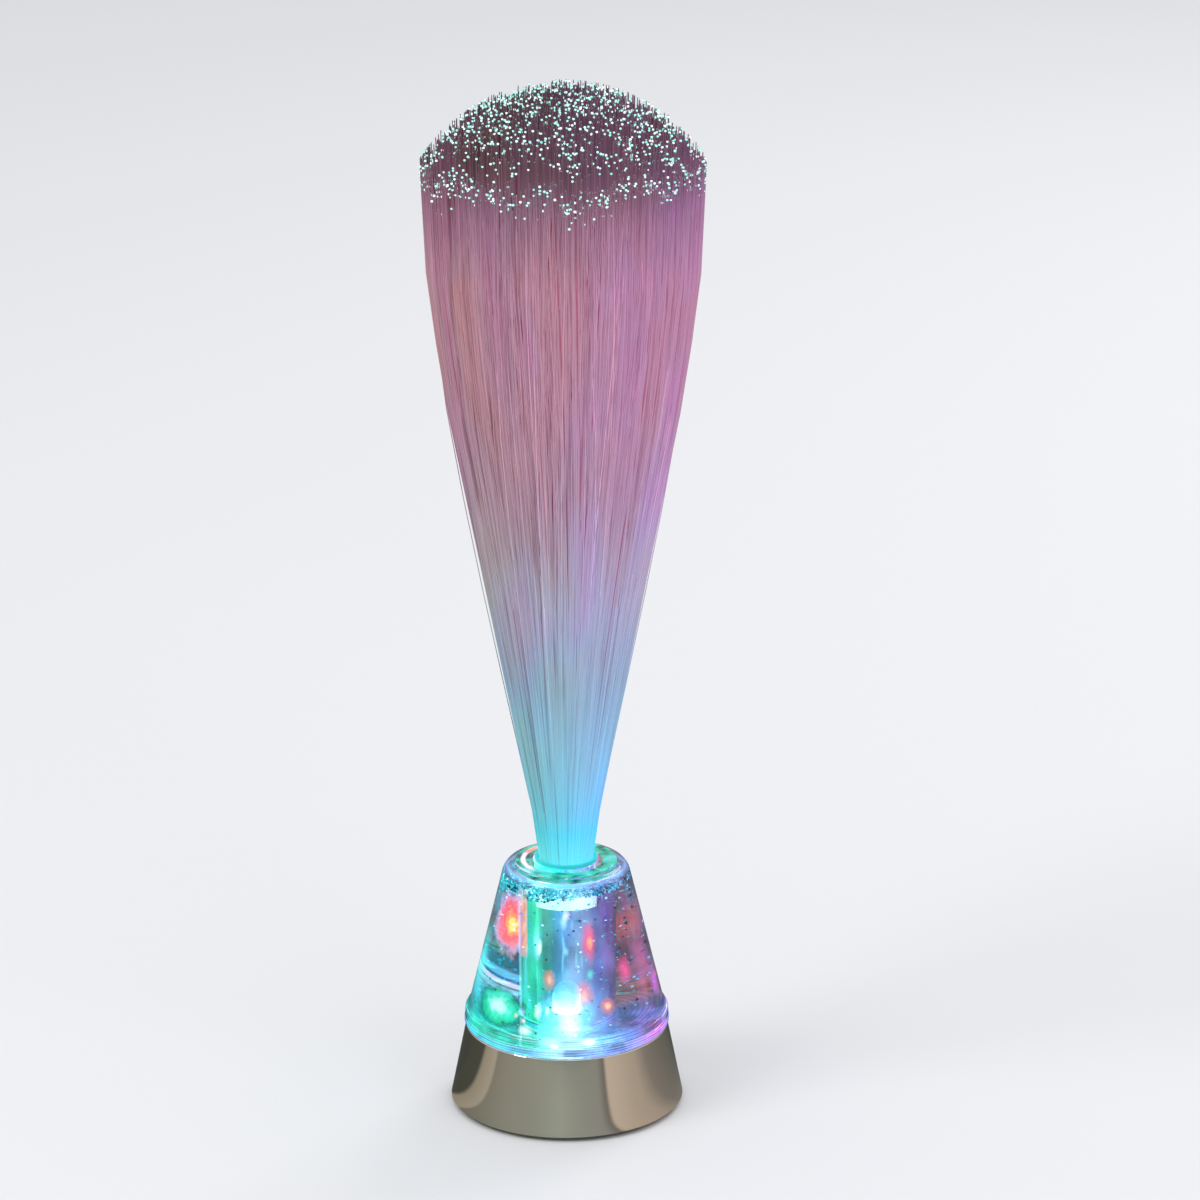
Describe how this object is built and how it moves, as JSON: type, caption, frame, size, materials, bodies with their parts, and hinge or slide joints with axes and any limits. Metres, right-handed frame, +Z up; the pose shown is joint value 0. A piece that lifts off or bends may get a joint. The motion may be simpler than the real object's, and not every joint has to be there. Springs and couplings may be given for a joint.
{
  "type": "fibre optic lamp",
  "caption": "Battery lamp: a trumpet spray of lit plastic fibres over a clear conical vessel of glittery liquid on a mirror-plated base.",
  "frame": {"origin": "centre of the footprint, on the table", "axes": "+Z up along the fibres; the battery door's screw is towards +Y and the switch towards +X"},
  "size_m": [0.09, 0.09, 0.34],
  "materials": {
    "chrome_plating": "vacuum-metallised mirror finish on moulded plastic",
    "black_plastic": "fine-textured moulded ABS",
    "black_rubber": "matte",
    "screw_steel": "zinc-plated",
    "contact_nickel": "nickel-plated spring steel",
    "cell_jacket": "printed plastic sleeve over a steel can, plain",
    "board_laminate": "green solder mask",
    "diode_white": "clear epoxy, lit white",
    "diode_red": "clear epoxy, lit red",
    "diode_green": "clear epoxy, lit green",
    "diode_blue": "clear epoxy, lit blue",
    "chip_epoxy": "matte epoxy",
    "resistor_ceramic": "glazed ceramic body",
    "switch_can": "tin-plated sheet",
    "knob_plastic": "moulded",
    "clear_acrylic": "clear polished acrylic",
    "plug_plastic": "soft clear plug",
    "glitter_fluid": "clear liquid with silver glitter",
    "sleeve_white": "white shrink sleeve",
    "fibre_strands": "fine clear plastic fibres with lit tips",
    "lead_red": "insulated stranded wire",
    "lead_black": "insulated stranded wire",
    "lead_white": "insulated stranded wire"
  },
  "bodies": {
    "lamp": {"base_shell": "chrome_plating", "bottom_cover": "black_plastic", "rubber_feet": "black_rubber", "cover_screws": "screw_steel", "board_screws": "screw_steel", "positive_terminal": "contact_nickel", "negative_terminal": "contact_nickel", "bridge_contact_1": "contact_nickel", "bridge_contact_2": "contact_nickel", "cell_springs": "contact_nickel", "battery_1": "cell_jacket", "battery_2": "cell_jacket", "battery_3": "cell_jacket", "circuit_board": "board_laminate", "led_centre": "diode_white", "led_red": "diode_red", "led_green": "diode_green", "led_blue": "diode_blue", "controller_chip": "chip_epoxy", "resistors": "resistor_ceramic", "switch_body": "switch_can", "vessel": "clear_acrylic", "vessel_floor": "clear_acrylic", "centre_tube": "clear_acrylic", "focus_lens": "clear_acrylic", "fill_plug": "plug_plastic", "glitter_liquid": "glitter_fluid", "fibre_ferrule": "sleeve_white", "fibre_spray": "fibre_strands", "lead_positive": "lead_red", "lead_negative": "lead_black", "lead_switch": "lead_white"},
    "battery_door": {"battery_door": "black_plastic"},
    "door_screw": {"door_screw": "screw_steel"},
    "switch_slider": {"switch_slider": "knob_plastic"}
  },
  "joints": [
    {"name": "switch_slide", "type": "slide", "parent": "lamp", "child": "switch_slider", "axis": [0, -1, 0], "range_m": [0, 0.003]},
    {"name": "battery_door_swing", "type": "hinge", "parent": "lamp", "child": "battery_door", "pos_m": [0, -0.02575, 0.0012], "axis": [-1, 0, 0], "range_deg": [0, 60]},
    {"name": "door_screw_turn", "type": "hinge", "parent": "battery_door", "child": "door_screw", "pos_m": [0, 0.02915, 0.0023], "axis": [0, 0, 1], "continuous": true}
  ]
}
